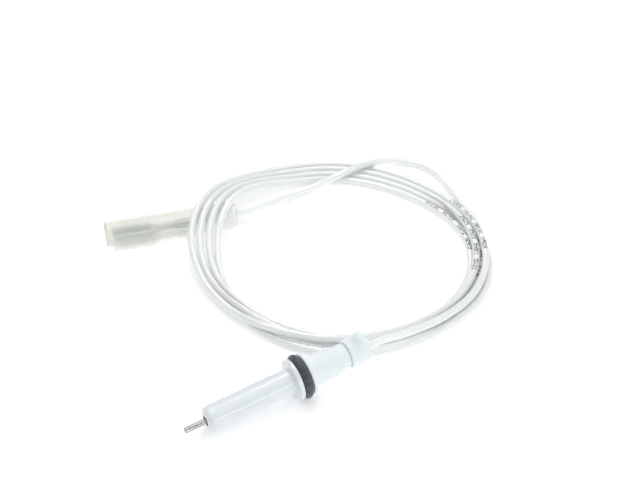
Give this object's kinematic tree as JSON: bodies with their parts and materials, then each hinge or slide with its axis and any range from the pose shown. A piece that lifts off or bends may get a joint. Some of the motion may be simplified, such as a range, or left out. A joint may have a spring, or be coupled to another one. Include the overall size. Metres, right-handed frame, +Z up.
{
  "type": "flame sensor probe",
  "caption": "Flame-sensing electrode: steel rod in a glazed ceramic nose with a sealed collar, white housing and boot, and a thin coiled lead to a sleeved female spade terminal.",
  "frame": {"origin": "bottom centre of the probe's own box, without the lead, on the surface it lies on", "axes": "+X in plan along the probe from the rod's tip to the boot, +Y towards the coil, +Z up; the probe's axis rises 5.6 degrees towards the boot"},
  "size_m": [0.1539, 0.1289, 0.0153],
  "materials": {
    "rod_steel": "drawn heat-resistant steel, warm grey",
    "glazed_ceramic": "glossy white glaze",
    "cement": "matte grey-white refractory cement",
    "seal_rubber": "satin slate-grey rubber",
    "housing_white": "matte bluish-white",
    "plated_steel": "nickel-plated",
    "tinned_copper": "tinned strands",
    "bush_white": "matte bluish-white",
    "boot_silicone": "satin white silicone",
    "grommet_silicone": "satin white silicone",
    "lead_jacket": "milky translucent silicone, satin",
    "terminal_brass": "tin-plated brass, grey",
    "sleeve_clear": "translucent warm cream tube"
  },
  "bodies": {
    "probe": {"electrode_rod": "rod_steel", "ceramic_insulator": "glazed_ceramic", "rod_cement": "cement", "seal_ring": "seal_rubber", "rear_housing": "housing_white", "cavity_potting": "cement", "crimp_ferrule": "plated_steel", "rear_core": "tinned_copper", "neck_bush": "bush_white", "rear_boot": "boot_silicone", "exit_grommet": "grommet_silicone", "lead_tail": "lead_jacket", "lead_coil": "lead_jacket", "lead_loop": "lead_jacket", "front_core": "tinned_copper", "spade_terminal": "terminal_brass"},
    "sleeve": {"terminal_sleeve": "sleeve_clear"}
  },
  "joints": [
    {"name": "sleeve_slide", "type": "slide", "parent": "probe", "child": "sleeve", "axis": [0.9736, -0.2284, 0], "range_m": [0, 0.012]}
  ]
}
